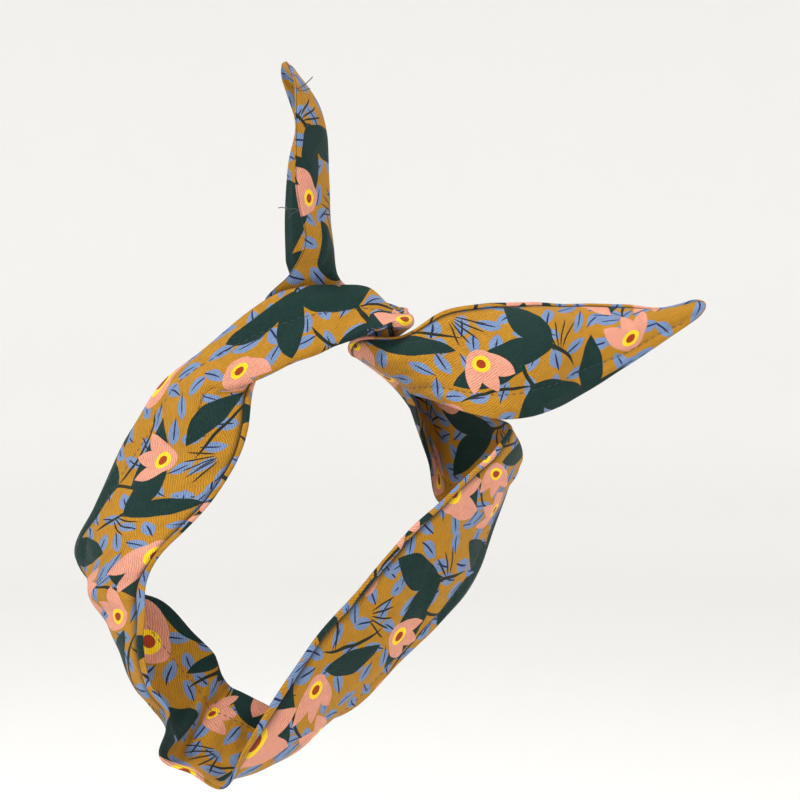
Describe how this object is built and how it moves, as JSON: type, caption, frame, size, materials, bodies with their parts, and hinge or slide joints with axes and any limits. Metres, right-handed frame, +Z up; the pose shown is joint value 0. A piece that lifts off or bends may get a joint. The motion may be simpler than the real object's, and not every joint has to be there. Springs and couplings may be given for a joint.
{
  "type": "wired twist headband",
  "caption": "Flat printed cotton band with a bendable wire in one edge, bent into a head loop with a hooked twist and two pointed ears.",
  "frame": {"origin": "middle of the head loop, where the head passes through", "axes": "+Y is the head loop's axis, away from the viewer; +Z is up towards the upper ear; +X is towards the side ear"},
  "size_m": [0.2675, 0.0781, 0.2941],
  "materials": {
    "printed_face": "printed cotton twill",
    "printed_lining": "printed cotton twill",
    "wire": "annealed wire",
    "wire_sleeve": "matt sleeve",
    "seam_allowance": "raw cotton edge",
    "thread": "dark polyester thread"
  },
  "bodies": {
    "loop": {"twist_back_face": "printed_face", "twist_back_lining": "printed_lining", "twist_front_face": "printed_face", "twist_front_lining": "printed_lining", "left_arm_face": "printed_face", "left_arm_lining": "printed_lining", "lower_curve_face": "printed_face", "lower_curve_lining": "printed_lining", "right_arm_face": "printed_face", "right_arm_lining": "printed_lining", "twist_return_face": "printed_face", "twist_return_lining": "printed_lining", "loop_wire": "wire", "loop_stitching": "thread", "loop_allowance": "seam_allowance", "closing_stitching": "thread"},
    "upper_ear": {"upper_ear_face": "printed_face", "upper_ear_lining": "printed_lining", "upper_ear_wire": "wire", "upper_ear_stitching": "thread", "upper_ear_allowance": "seam_allowance", "upper_ear_thread_tail": "thread"},
    "upper_tip": {"upper_tip_face": "printed_face", "upper_tip_lining": "printed_lining", "upper_tip_wire": "wire", "upper_tip_stitching": "thread", "upper_tip_allowance": "seam_allowance", "upper_wire_sleeve": "wire_sleeve", "upper_tip_thread_tail": "thread"},
    "side_ear": {"side_ear_face": "printed_face", "side_ear_lining": "printed_lining", "side_ear_wire": "wire", "side_ear_stitching": "thread", "side_ear_allowance": "seam_allowance"},
    "side_tip": {"side_tip_face": "printed_face", "side_tip_lining": "printed_lining", "side_tip_wire": "wire", "side_tip_stitching": "thread", "side_tip_allowance": "seam_allowance", "side_wire_sleeve": "wire_sleeve"}
  },
  "joints": [
    {"name": "upper_ear_sway", "type": "hinge", "parent": "loop", "child": "upper_ear", "pos_m": [-0.006, 0.01, 0.104], "axis": [0, 1, 0], "range_deg": [-20, 20]},
    {"name": "upper_tip_curl", "type": "hinge", "parent": "upper_ear", "child": "upper_tip", "pos_m": [-0.006, 0, 0.149], "axis": [0, 1, 0], "range_deg": [-30, 30]},
    {"name": "side_ear_swing", "type": "hinge", "parent": "loop", "child": "side_ear", "pos_m": [0.058, 0, 0.067], "axis": [0.2299, -0.3759, -0.8977], "range_deg": [-20, 35]},
    {"name": "side_tip_curl", "type": "hinge", "parent": "side_ear", "child": "side_tip", "pos_m": [0.1105, 0.006, 0.073], "axis": [0, -0.2611, -0.9653], "range_deg": [-30, 30]}
  ]
}
